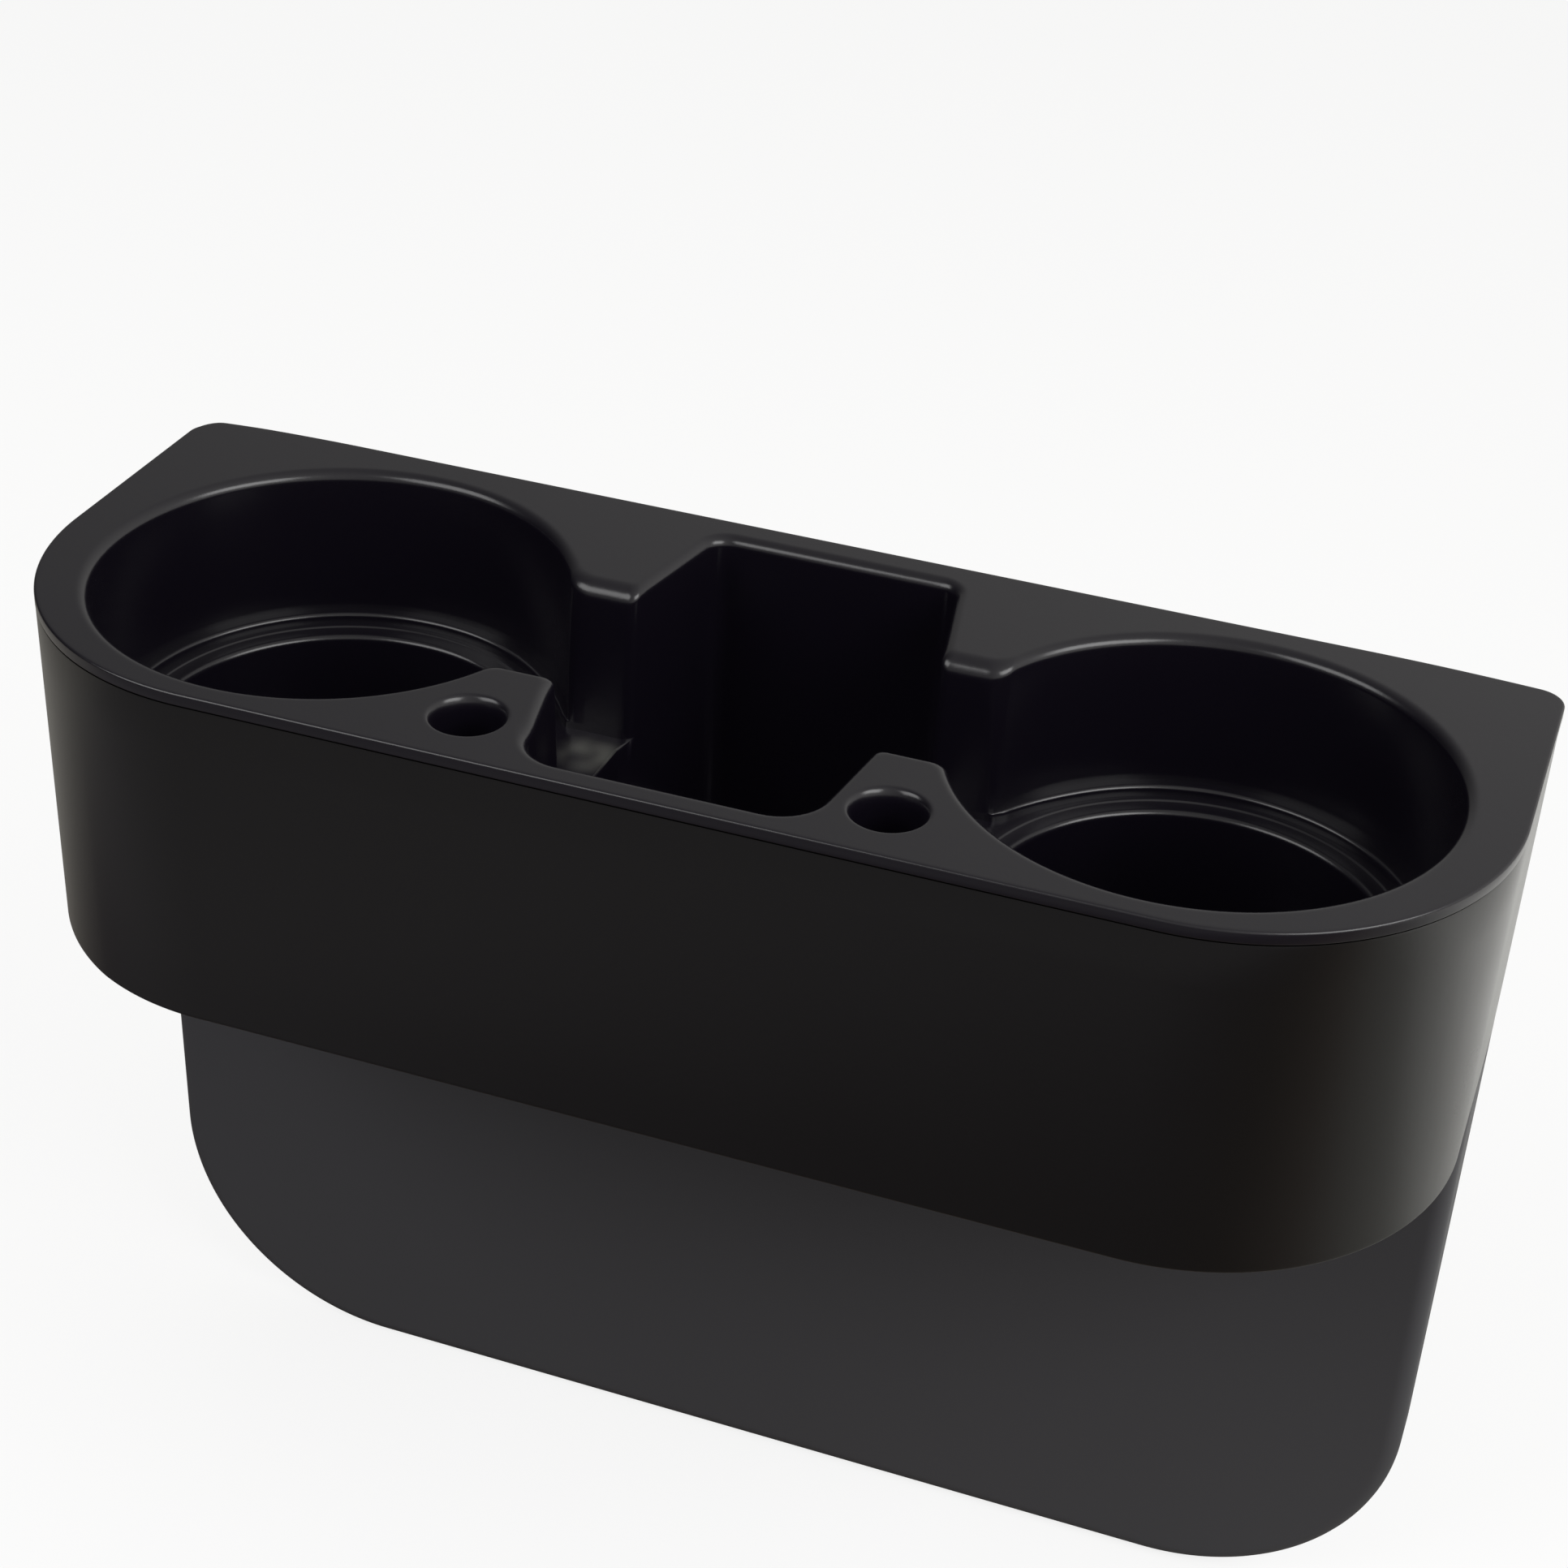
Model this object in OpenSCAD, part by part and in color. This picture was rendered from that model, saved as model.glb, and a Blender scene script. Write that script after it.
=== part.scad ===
// Double cup holder that wedges into the gap beside a car seat.
// A tray moulding with two stepped cups, a centre pocket and two pen holes
// sits on an open shell moulding, whose back runs down into the wedge.
// The origin is mid-length, where the wedge's front face meets the body's underside.

/* [Cups] */
// Distance between the two cup centres
cup_spacing = 162.8; // [154:0.2:176]
// Radius of a cup's wall just under its rounded mouth
cup_r = 43.3; // [40:0.1:46]
// Rounding of a cup's mouth
cup_mouth_r = 2.1; // [1:0.1:3]
// Depth of the narrow upper step under the top face
step_depth = 29.7; // [24:0.1:34]
// Radius of the narrow step's inner edge
step_r = 40.5; // [38.6:0.1:41.4]
// Height of the narrow step above the ledge
step_h = 1.6; // [1:0.1:3]
// Radius of the well under the ledge
well_r = 35.1; // [33:0.1:37]
// Gap between the floors of the tray and the floor of the shell
floor_gap = 1.5; // [0.5:0.1:8]

/* [Top plate] */
// Thickness of the plate at its rim
plate_t = 2.4; // [2:0.1:4]
// Flat strip of plate in front of the cups
front_margin = 3.6; // [3.4:0.1:8]
// Flat strip of plate behind the cups
back_margin = 5; // [4:0.1:12]
// Flat strip of plate beyond each cup
end_margin = 8.2; // [5:0.1:14]
// Radius of the two front corners
front_corner_r = 50.6; // [44:0.1:54]
// Radius of the two back corners
back_corner_r = 5.2; // [3.6:0.1:9]
// Rounding of the plate's upper edge
rim_edge_r = 0.8; // [0.4:0.1:1.6]
// Wall thickness of the cups, the pocket and the channels
tray_t = 2; // [1.6:0.1:2.6]

/* [Channels between cups and pocket] */
// Distance from the cup centre line to a channel's back wall
channel_back = 16.5; // [12:0.1:17.5]
// Distance from the cup centre line to a channel's front wall
channel_front = 17.1; // [12:0.1:19]
// Rounding of a channel's back edge at the top
channel_mouth_r = 3.2; // [1.5:0.1:3.6]

/* [Centre pocket] */
// Width of the pocket at its back wall
pocket_back_w = 48; // [42:0.5:52]
// Width of the pocket at its front wall
pocket_front_w = 51; // [46:0.5:54]
// Width of the pocket under the channels' floors
pocket_mid_w = 58.8; // [56:0.2:59.4]
// Slant of the pocket's side walls behind the channels, in degrees
back_slant = 11; // [8:0.5:14]
// Slant of the pocket's side walls in front of the channels, in degrees
front_slant = 8; // [6:0.5:10]
// Rounding of the pocket's upright corners
pocket_corner_r = 5; // [3:0.1:6]
// Rounding of the pocket's and the pen holes' mouths
pocket_mouth_r = 2; // [1:0.1:3]

/* [Pen holes] */
// Distance from the middle of the plate to a pen hole
pen_x = 37.4; // [36.8:0.1:39]
// Distance from the plate's front edge to a pen hole's axis
pen_setback = 13; // [12:0.1:14]
// Radius of a pen hole
pen_r = 5.8; // [4.5:0.1:6.2]
// Depth of a pen hole under the top face
pen_depth = 32; // [20:1:50]

/* [Shell] */
// Height of the body from its underside to the top face
body_h = 68.2; // [50:0.1:90]
// Wall thickness of the shell
shell_t = 2.2; // [1.6:0.1:2.5]
// How far the shell's wall stands back from the plate's rim
shell_setback = 0.4; // [0.2:0.1:0.6]
// Draft of the moulded walls, in degrees
draft = 0.6; // [0.3:0.1:0.8]

/* [Wedge] */
// Thickness of the wedge where it leaves the body
wedge_top_t = 31.3; // [24:0.1:36]
// Thickness of the wedge at its lower edge
wedge_tip_t = 6; // [5:0.1:12]
// Reach of the wedge below the body's underside
wedge_drop = 132; // [90:1:150]
// Radius of the wedge's two lower corners
wedge_corner_r = 47.2; // [30:0.1:60]

/* [Hidden] */
$fn = 96;

// Outline of the plate, measured from the middle of the cup centre line
cup_mouth = cup_r + cup_mouth_r;
half_l = cup_spacing / 2 + cup_mouth + end_margin;
front_edge = cup_mouth + front_margin;
back_edge = cup_mouth + back_margin;
ledge_depth = step_depth + step_h;
cup_depth = body_h - shell_t - floor_gap - tray_t;
overall_h = body_h + wedge_drop;

// Walls of the pocket, in line with the margins round the cups
pocket_front = front_edge - front_margin - pocket_mouth_r;
pocket_back = back_edge - back_margin - pocket_mouth_r;
pen_y = front_edge - pen_setback;
channel_end = cup_spacing / 2 - step_r / 2;

// Shell and wedge
shell_back = back_edge - shell_setback;
wedge_front = shell_back - wedge_top_t;
above = 1;
seam = plate_t / 2;
lift = 0.2;
lip_angle = 12;
corner_steps = 6;
mouth_steps = 4;

// Distance that a drafted wall moves over a height
function drafted(h) = h * tan(draft);

// Puts the object on its origin
module placed() {
    translate([0, -wedge_front, body_h])
        children();
}

// Both ends of the part, the left as a mirror image of the right
module both_ends() {
    children();
    mirror([1, 0, 0])
        children();
}

// Straight sweep of an edge profile whose x axis points along an angle
module strip(length, angle) {
    rotate([90, 0, angle])
        linear_extrude(length, center = true)
            children();
}

// Block on the plate's outline: children 0 and 1 are its edge profiles
// at the front corner's radius and at the back corner's radius
module outline_block(z_low, z_high) {
    front_x = half_l - front_corner_r;
    front_y = front_corner_r - front_edge;
    back_x = half_l - back_corner_r;
    back_y = back_edge - back_corner_r;
    both_ends() {
        translate([front_x, front_y, 0])
            rotate([0, 0, -90])
                rotate_extrude(angle = 90)
                    children(0);
        translate([front_x, (front_y + back_y) / 2, 0])
            strip(back_y - front_y, 0)
                children(0);
        translate([back_x, back_y, 0])
            rotate_extrude(angle = 90)
                children(1);
    }
    translate([0, front_y, 0])
        strip(2 * front_x, -90)
            children(0);
    translate([0, back_y, 0])
        strip(2 * back_x, 90)
            children(1);
    translate([-front_x, front_y, z_low])
        cube([2 * front_x, back_y - front_y, z_high - z_low]);
}

// Section of the plate from a corner's centre to its rounded rim
module plate_section(r) {
    difference() {
        translate([0, -plate_t])
            square([r, plate_t]);
        translate([r - rim_edge_r, -rim_edge_r])
            difference() {
                square(rim_edge_r + above);
                circle(rim_edge_r);
            }
    }
}

module plate() {
    outline_block(-plate_t, 0) {
        plate_section(front_corner_r);
        plate_section(back_corner_r);
    }
}

// Mouth of a hollow: a rounding from a wall at x = r up to the top face,
// which it meets at a slight angle
module mouth_section(r, round_r) {
    inner = max(r - 1, -1);
    difference() {
        translate([inner, -round_r])
            square([r - inner + 2 * round_r, round_r + lift]);
        mouth_edge(r, round_r);
    }
}

// The rounded edge that a mouth leaves standing
module mouth_edge(r, round_r) {
    start = [r + round_r, -round_r] + round_r * [-sin(lip_angle), cos(lip_angle)];
    end = start + 3 * round_r * [cos(lip_angle), sin(lip_angle)];
    translate([r + round_r, -round_r])
        circle(round_r);
    polygon([start, end, [end.x, -2 * round_r], [start.x, -2 * round_r]]);
}

// Section of the inside of a cup
module cup_section() {
    wall_low = cup_r - drafted(step_depth - cup_mouth_r);
    well_low = well_r - drafted(cup_depth - ledge_depth);
    mouth_section(cup_r, cup_mouth_r);
    polygon([
        [0, lift],
        [cup_r, lift],
        [cup_r, -cup_mouth_r],
        [wall_low, -step_depth],
        [step_r, -step_depth],
        [step_r - drafted(step_h), -ledge_depth],
        [well_r, -ledge_depth],
        [well_low, -cup_depth],
        [0, -cup_depth],
    ]);
}

// Section of the outside of a cup
module cup_skin_section() {
    skin_low = cup_r + tray_t - drafted(ledge_depth);
    well_low = well_r + tray_t - drafted(cup_depth - ledge_depth);
    polygon([
        [0, -seam],
        [cup_r + tray_t, -seam],
        [skin_low, -ledge_depth - tray_t],
        [well_r + tray_t, -ledge_depth - tray_t],
        [well_low, -cup_depth - tray_t],
        [0, -cup_depth - tray_t],
    ]);
}

// Section across a channel, seen along the plate: x is its distance to the back
module channel_section() {
    lean = drafted(ledge_depth);
    reach = 2 * channel_mouth_r;
    difference() {
        translate([-channel_front - reach, -ledge_depth])
            square([channel_front + channel_back + 2 * reach, ledge_depth + lift]);
        mouth_edge(channel_back, channel_mouth_r);
        polygon([
            [channel_back, -channel_mouth_r],
            [channel_back + 2 * reach, -channel_mouth_r],
            [channel_back + 2 * reach, -ledge_depth - above],
            [channel_back - lean, -ledge_depth - above],
        ]);
        mirror([1, 0])
            mouth_edge(channel_front, pocket_mouth_r);
        polygon([
            [-channel_front, -pocket_mouth_r],
            [-channel_front - 2 * reach, -pocket_mouth_r],
            [-channel_front - 2 * reach, -ledge_depth - above],
            [lean - channel_front, -ledge_depth - above],
        ]);
    }
}

module channel() {
    translate([channel_end / 2, 0, 0])
        rotate([90, 0, 90])
            linear_extrude(channel_end, center = true)
                channel_section();
}

module channel_skin() {
    translate([0, -channel_front - tray_t, -ledge_depth - tray_t])
        cube([channel_end, channel_front + channel_back + 2 * tray_t, ledge_depth + tray_t - seam]);
}

// Centre of a pocket corner's rounding, from half the width and the distance
// of the wall that runs across, and the slant of the side wall
function pocket_centre(half_w, wall, slant) = [
    half_w - pocket_corner_r * (1 - sin(slant)) / cos(slant),
    wall - pocket_corner_r,
];

// Distance of the point where a slanted side wall reaches the widest part
function wide_at(half_w, wall, slant) = wall - (pocket_mid_w / 2 - half_w) / tan(slant);

// Points round the right half of the pocket, its walls grown outwards
function pocket_half(grow) =
    let (
        front = pocket_centre(pocket_front_w / 2, pocket_front, front_slant),
        back = pocket_centre(pocket_back_w / 2, pocket_back, back_slant),
        r = pocket_corner_r + grow,
        wide_front = wide_at(pocket_front_w / 2, pocket_front, front_slant),
        wide_back = wide_at(pocket_back_w / 2, pocket_back, back_slant)
    )
    concat(
        [for (k = [0:corner_steps])
            let (a = (90 - front_slant) * k / corner_steps - 90)
            [front.x + r * cos(a), -front.y + r * sin(a)]],
        [[pocket_mid_w / 2 + grow, -wide_front - grow * tan(front_slant / 2)]],
        [[pocket_mid_w / 2 + grow, wide_back + grow * tan(back_slant / 2)]],
        [for (k = [0:corner_steps])
            let (a = back_slant + (90 - back_slant) * k / corner_steps)
            [back.x + r * cos(a), back.y + r * sin(a)]]
    );

// The same points all the way round, anticlockwise
function pocket_ring(grow) =
    let (right = pocket_half(grow))
    concat(right, [for (k = [len(right) - 1:-1:0]) [-right[k].x, right[k].y]]);

// Inside of the pocket: drafted walls with a rounded mouth, level by level
module pocket() {
    wall_low = -drafted(cup_depth - pocket_mouth_r);
    run = (lift + pocket_mouth_r * (1 - cos(lip_angle))) / tan(lip_angle);
    levels = concat(
        [[wall_low, -cup_depth]],
        [for (k = [0:mouth_steps])
            let (a = (90 - lip_angle) * k / mouth_steps)
            pocket_mouth_r * [1 - cos(a), sin(a) - 1]],
        [[pocket_mouth_r * (1 - sin(lip_angle)) + run, lift]]
    );
    n = len(pocket_ring(0));
    last = n * (len(levels) - 1);
    points = [for (l = levels) for (p = pocket_ring(l.x)) [p.x, p.y, l.y]];
    sides = [for (k = [0:len(levels) - 2]) for (i = [0:n - 1])
        [n * k + i, n * (k + 1) + i, n * (k + 1) + (i + 1) % n, n * k + (i + 1) % n]];
    low = [for (i = [0:n - 1]) i];
    high = [for (i = [n - 1:-1:0]) last + i];
    polyhedron(points, concat([low], sides, [high]), convexity = 4);
}

module pocket_skin() {
    translate([0, 0, -cup_depth - tray_t])
        linear_extrude(cup_depth + tray_t - seam)
            polygon(pocket_ring(tray_t));
}

// Inside of a pen hole: a straight bore with a rounded mouth
module pen_hole() {
    rotate_extrude() {
        mouth_section(pen_r, pocket_mouth_r);
        translate([0, -pen_depth])
            square([pen_r, pen_depth + lift]);
    }
}

module pen_skin() {
    translate([0, 0, -pen_depth - tray_t])
        cylinder(h = pen_depth + tray_t - seam, r = pen_r + tray_t);
}

module tray() {
    color([0.16, 0.16, 0.17])
        placed()
            difference() {
                union() {
                    plate();
                    pocket_skin();
                    both_ends() {
                        translate([cup_spacing / 2, 0, 0])
                            rotate_extrude()
                                cup_skin_section();
                        translate([pen_x, -pen_y, 0])
                            pen_skin();
                        channel_skin();
                    }
                }
                pocket();
                both_ends() {
                    translate([cup_spacing / 2, 0, 0])
                        rotate_extrude()
                            cup_section();
                    translate([pen_x, -pen_y, 0])
                        pen_hole();
                    channel();
                }
            }
}

// Section of a drafted block, from a corner's centre to a wall
// that stands back from the plate's outline
module drafted_section(r, setback, z_low, z_high) {
    polygon([
        [0, z_high],
        [r - setback - drafted(z_high + plate_t), z_high],
        [r - setback - drafted(-z_low - plate_t), z_low],
        [0, z_low],
    ]);
}

// Drafted block on the plate's outline, cut by the side profile and the
// front view that a wall thickness t leaves
module shell_block(t, z_high) {
    setback = shell_setback + t;
    z_low = -overall_h - above;
    intersection() {
        outline_block(z_low, z_high) {
            drafted_section(front_corner_r, setback, z_low, z_high);
            drafted_section(back_corner_r, setback, z_low, z_high);
        }
        rotate([90, 0, 90])
            linear_extrude(2 * half_l, center = true)
                side_profile(t, z_high);
        rotate([90, 0, 0])
            linear_extrude(4 * back_edge, center = true)
                front_view(t, z_high);
    }
}

// Side profile: the body with the wedge under its back
module side_profile(t, z_high) {
    back_low = shell_back - t - drafted(body_h - plate_t);
    polygon([
        [-front_edge, z_high],
        [-front_edge, t - body_h],
        [wedge_front + t, t - body_h],
        [wedge_front + t, t - overall_h],
        [wedge_front - t + wedge_tip_t, t - overall_h],
        [back_low, -body_h],
        [shell_back + above, -body_h],
        [shell_back + above, z_high],
    ]);
}

// Front view: the sides turn into the wedge's large lower corners
module front_view(t, z_high) {
    r = wedge_corner_r - t;
    z_low = t - overall_h;
    centre_z = z_low + r;
    tangent_z = centre_z - r * sin(draft);
    side = half_l - shell_setback - t - drafted(-plate_t - tangent_z);
    centre_x = side - r * cos(draft);
    difference() {
        translate([-half_l, z_low])
            square([2 * half_l, z_high - z_low]);
        both_ends()
            difference() {
                translate([centre_x, z_low - above])
                    square([half_l, tangent_z - z_low + above]);
                translate([centre_x, centre_z])
                    circle(r);
            }
    }
}

module shell() {
    color([0.12, 0.11, 0.11])
        placed()
            difference() {
                shell_block(0, -plate_t);
                shell_block(shell_t, above - plate_t);
            }
}

shell();
tray();
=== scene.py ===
import math

import bmesh
import bpy
import numpy as np
from mathutils import Matrix, Vector
from mathutils.geometry import delaunay_2d_cdt


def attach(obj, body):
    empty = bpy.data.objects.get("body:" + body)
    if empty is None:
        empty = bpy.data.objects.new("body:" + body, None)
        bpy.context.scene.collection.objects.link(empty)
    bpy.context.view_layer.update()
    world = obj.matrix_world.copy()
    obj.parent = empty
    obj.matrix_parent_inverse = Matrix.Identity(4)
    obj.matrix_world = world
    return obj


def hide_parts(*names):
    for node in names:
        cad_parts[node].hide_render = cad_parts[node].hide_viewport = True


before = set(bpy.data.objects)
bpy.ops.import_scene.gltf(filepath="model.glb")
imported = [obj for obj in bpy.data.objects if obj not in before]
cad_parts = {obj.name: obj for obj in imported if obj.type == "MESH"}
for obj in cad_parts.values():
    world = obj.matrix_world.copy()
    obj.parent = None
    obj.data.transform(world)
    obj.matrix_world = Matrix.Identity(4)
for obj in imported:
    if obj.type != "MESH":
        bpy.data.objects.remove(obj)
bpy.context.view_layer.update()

# Sizes in millimetres. x runs along the plate from its middle, y to the back
# from the line through the cup centres, z up from the plate's top face.
ORIGIN = (0.0, -18.7, 68.2)
DRAFT = math.tan(math.radians(0.6))
SHELL_DRAFT = math.tan(math.radians(0.8))
SIDES = (1, -1)

# Plate: outline, eased towards the ends at the back, and its rounded edge
HALF_L, FRONT, BACK = 135.5, 49.0, 50.4
FRONT_R, BACK_R = 50.6, 5.2
EASE_X, EASE_R = 100.0, 380.0
STRAIGHT_END = 22.0
PLATE_T, RIM_ROUND, RIM_FOOT = 2.4, 0.5, 0.35
RIM_FLAT, MOUTH_FLAT = 0.5, 0.4

# Cups: a wall down to a narrow step, a ledge with fine rings and a well
CUP_X, CUP_R, CUP_MOUTH = 81.4, 43.3, 2.1
WALL_LEVELS = (-8.0, -15.0, -22.0)
CRISP_DEPTH = 20.0
STEP_Z, STEP_R, STEP_EDGE, STEP_GAP = -29.7, 40.5, 0.9, 0.05
STEP_FLARE, FLARE_KEPT, FLARE_TURN = 1.9, 0.4, (51, 21)
LEDGE_Z, LEDGE_LOW = -31.3, -31.85
LEDGE_RINGS = ((39.9, -31.3), (38.75, -31.4), (38.6, -31.47), (38.45, -31.62), (38.3, -31.7))
WELL_R, WELL_EDGE = 35.1, 1.2
WELL_LEVELS = (-42.0, -52.0)
FLOOR_Z, FLOOR_ROUND = -63.5, 1.5
LEAN = -STEP_Z * DRAFT

# Channels between the cups and the pocket
CHANNEL_BACK, CHANNEL_BACK_MOUTH = 16.5, 3.4
CHANNEL_FRONT, CHANNEL_FRONT_MOUTH = 17.1, 2.0

# Pocket: half its width at the front wall, under the channels and at the back wall
HALF_FRONT, HALF_MID, HALF_BACK = 25.5, 30.2, 24.0
POCKET_FRONT, POCKET_BACK, POCKET_MOUTH = 43.6, 43.6, 2.1
SLANT_FRONT, SLANT_BACK = math.radians(8.0), math.radians(11.2)
POCKET_LEVELS = (-36.0, -45.0, -54.0)
EDGE_CORNER, EDGE_GAP = 3.0, 0.5
EDGE_SOFT, SOFT_START = 0.7, (1.4, 4.4)

# Roundings round the opening, from front middle to back middle: the pocket's front
# corner, its corner with the channel, the channel's corner with the cup, and the
# same three at the back in turn from the cup
WALL_ROUNDS = (8.5, 1.2, 2.4, 5.0, 2.0, 4.4)
TOP_ROUNDS = (10.4, 1.8, 3.6, 5.6, 1.2, 6.2)
CRISP_ROUNDS = (8.5, 1.2, 1.2, 1.6, 2.0, 4.4)
STEP_ROUNDS = (8.5, 1.2, 1.2, 1.2, 2.0, 4.4)
HIDDEN_ROUNDS = (10.4, 0.3, 0.6, 3.0, 0.3, 6.2)

# Pen holes
PEN_X, PEN_Y, PEN_R, PEN_DEPTH = 37.4, -35.4, 6.0, 32.0
PEN_MOUTH, PEN_MOUTH_DEPTH, PEN_FLOOR_ROUND = 1.3, 3.0, 1.0

# Hidden outside of the tray
WALL, PEN_WALL, FOOT_IN = 2.0, 1.6, 0.5

# Body of the shell. Each row of the seam is an inset and a depth under the plate.
BODY_H, SHELL_T, SETBACK, BODY_EDGE = 69.2, 2.2, 0.2, 0.6
SEAM = 0.25
SEAM_ROWS = ((0.7, 0.02), (0.5, SEAM), (0.1, SEAM), (0.0, SEAM + 0.5))
BODY_LEVELS = (-12.0, -24.0, -36.0, -48.0, -60.0)
ABOVE_EDGE = (2.0, 0.4)
BULGE_X, BULGE_Y, BULGE_TOP, BULGE_FOOT = (-84, -109), (20, -5), 0.15, 0.8

# Wedge under the body. It runs a little way up into the body's floor.
WEDGE_FRONT, WEDGE_TIP, WEDGE_LOW = 18.7, 6.0, -200.5
WEDGE_CORNER, WEDGE_TAPER = 47.2, 0.6
WEDGE_EDGE, WEDGE_FLAT = 3.3, 0.6
WEDGE_INTO, WEDGE_SHOULDER, WEDGE_LEAN = 1.2, 0.8, 1.2
BACK_ROUND_LOW, BACK_ROUND_MORE, BACK_ROUND_LEFT = 2.2, 1.9, 2.0
LEFT_REACH = (0, -60)
WEDGE_BACK_IN, TOLERANCE = 0.1, 0.01
EDGE_ZONE = (WEDGE_FRONT - 1.0, WEDGE_FRONT - 4.0)

# How the real moulding strays from symmetry. A pair is where an effect starts and is full.
BACK_SHIFT, BACK_SHIFT_SLOPE = 0.65, -0.0062
BACK_EDGE_Y, POCKET_BACK_Y, POCKET_BACK_X = (46.5, 49.5), (18, 38), (40, 32)
SHIFT_DEPTH = 31.0
UPPER_SHIFT, UPPER_SLOPE, UPPER_FADE = 0.95, -0.25 / 29, 0.85
UPPER_Y, UPPER_X = (-1.6, 14.4), (46, 32)
CORNER_SHIFT, CORNER_SLOPE = 0.55, -0.35 / 25
CORNER_Y, CORNER_X, PEN_CLEAR = (-21, -33), (34, 30), (8.25, 9.45)
CHANNEL_SHIFT = 0.5
CHANNEL_START_Y, CHANNEL_STOP_Y, CHANNEL_X = (-8, -14), (-24, -20), (40, 34)

# Counts of steps along the outlines: the right half of the opening's, the circles, the
# plate's, the pocket's edge and the wedge's
N_END, N_ROUND, N_SIDE, N_CHANNEL, N_CUP, N_RUN = 12, 10, 10, 8, 180, 4
N_WELL, N_PEN, N_HIDDEN_PEN, N_HIDDEN_CUP = 200, 72, 48, 96
N_PLATE_LONG, N_PLATE_SHORT, N_PLATE_FRONT, N_PLATE_BACK = 12, 8, 90, 14
N_SLANT, N_EDGE_CORNER, N_EDGE = 4, 4, 16
N_WEDGE_TOP, N_WEDGE_SIDE, N_WEDGE_CORNER, N_WEDGE_FOOT = 6, 16, 60, 10

# Counts of steps across the roundings
Q_RIM, Q_RIM_FOOT, Q_MOUTH, Q_PEN, Q_PEN_FLOOR = 6, 3, 10, 8, 3
Q_STEP, Q_WELL, Q_SOFT, Q_FLOOR = 6, 6, 5, 5
Q_BODY, Q_WEDGE_FRONT, Q_WEDGE_BACK = 5, 8, 7

# Mesh: welding distance and least edge in metres, merging distance and least
# height of a triangle in millimetres, and the angle of a sharp edge
WELD, LEAST_EDGE = 4e-6, 1e-7
MERGE, SLIVER = 1e-6, 1e-4
SHARP = math.radians(32)


def to_frame(p):
    return tuple((p[i] + ORIGIN[i]) / 1000 for i in range(3))


def ramp(value, start, full):
    """0 at start and 1 at full, even between them and flat beyond."""
    return np.clip((value - start) / (full - start), 0, 1)


def quarter(steps, first=0):
    """The angles, in radians, of the steps of a quarter turn."""
    return [math.radians(90 * k / steps) for k in range(first, steps + 1)]


def back_shift(x):
    """The back edge runs slightly askew, further back at the left end."""
    return BACK_SHIFT + BACK_SHIFT_SLOPE * x


def as_moulded(xy, z):
    """Points moved to where the real moulding has them: the pocket's upper part and its
    front corners sit a little to the right, and the back edge runs askew."""
    x, y = xy[:, 0], xy[:, 1]
    off = np.abs(x)
    deep = ramp(-np.asarray(z), 0, SHIFT_DEPTH)
    upper = ramp(y, *UPPER_Y) * ramp(off, *UPPER_X) * (1 - UPPER_FADE * deep)
    from_pen = np.hypot(off - PEN_X, y - PEN_Y)
    front = ramp(y, *CORNER_Y) * ramp(off, *CORNER_X) * ramp(from_pen, *PEN_CLEAR)
    channel = ramp(y, *CHANNEL_START_Y) * ramp(y, *CHANNEL_STOP_Y) * ramp(off, *CHANNEL_X)
    right = (UPPER_SHIFT + UPPER_SLOPE * x) * upper
    right = right + (CORNER_SHIFT + CORNER_SLOPE * x) * front
    right = right + CHANNEL_SHIFT * deep * channel * (x < 0)
    near_pocket = ramp(y, *POCKET_BACK_Y) * ramp(off, *POCKET_BACK_X)
    share = np.maximum(ramp(y, *BACK_EDGE_Y), near_pocket)
    return np.column_stack([x + right, y + back_shift(x) * share])


def inside(p, poly):
    """Whether the point p lies inside a closed outline."""
    x0, y0 = poly[:, 0], poly[:, 1]
    x1, y1 = np.roll(x0, -1), np.roll(y0, -1)
    crosses = (y0 > p[1]) != (y1 > p[1])
    with np.errstate(divide="ignore", invalid="ignore"):
        hit = x0 + (p[1] - y0) * (x1 - x0) / (y1 - y0)
    return bool(np.count_nonzero(crosses & (hit > p[0])) % 2)


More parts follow.
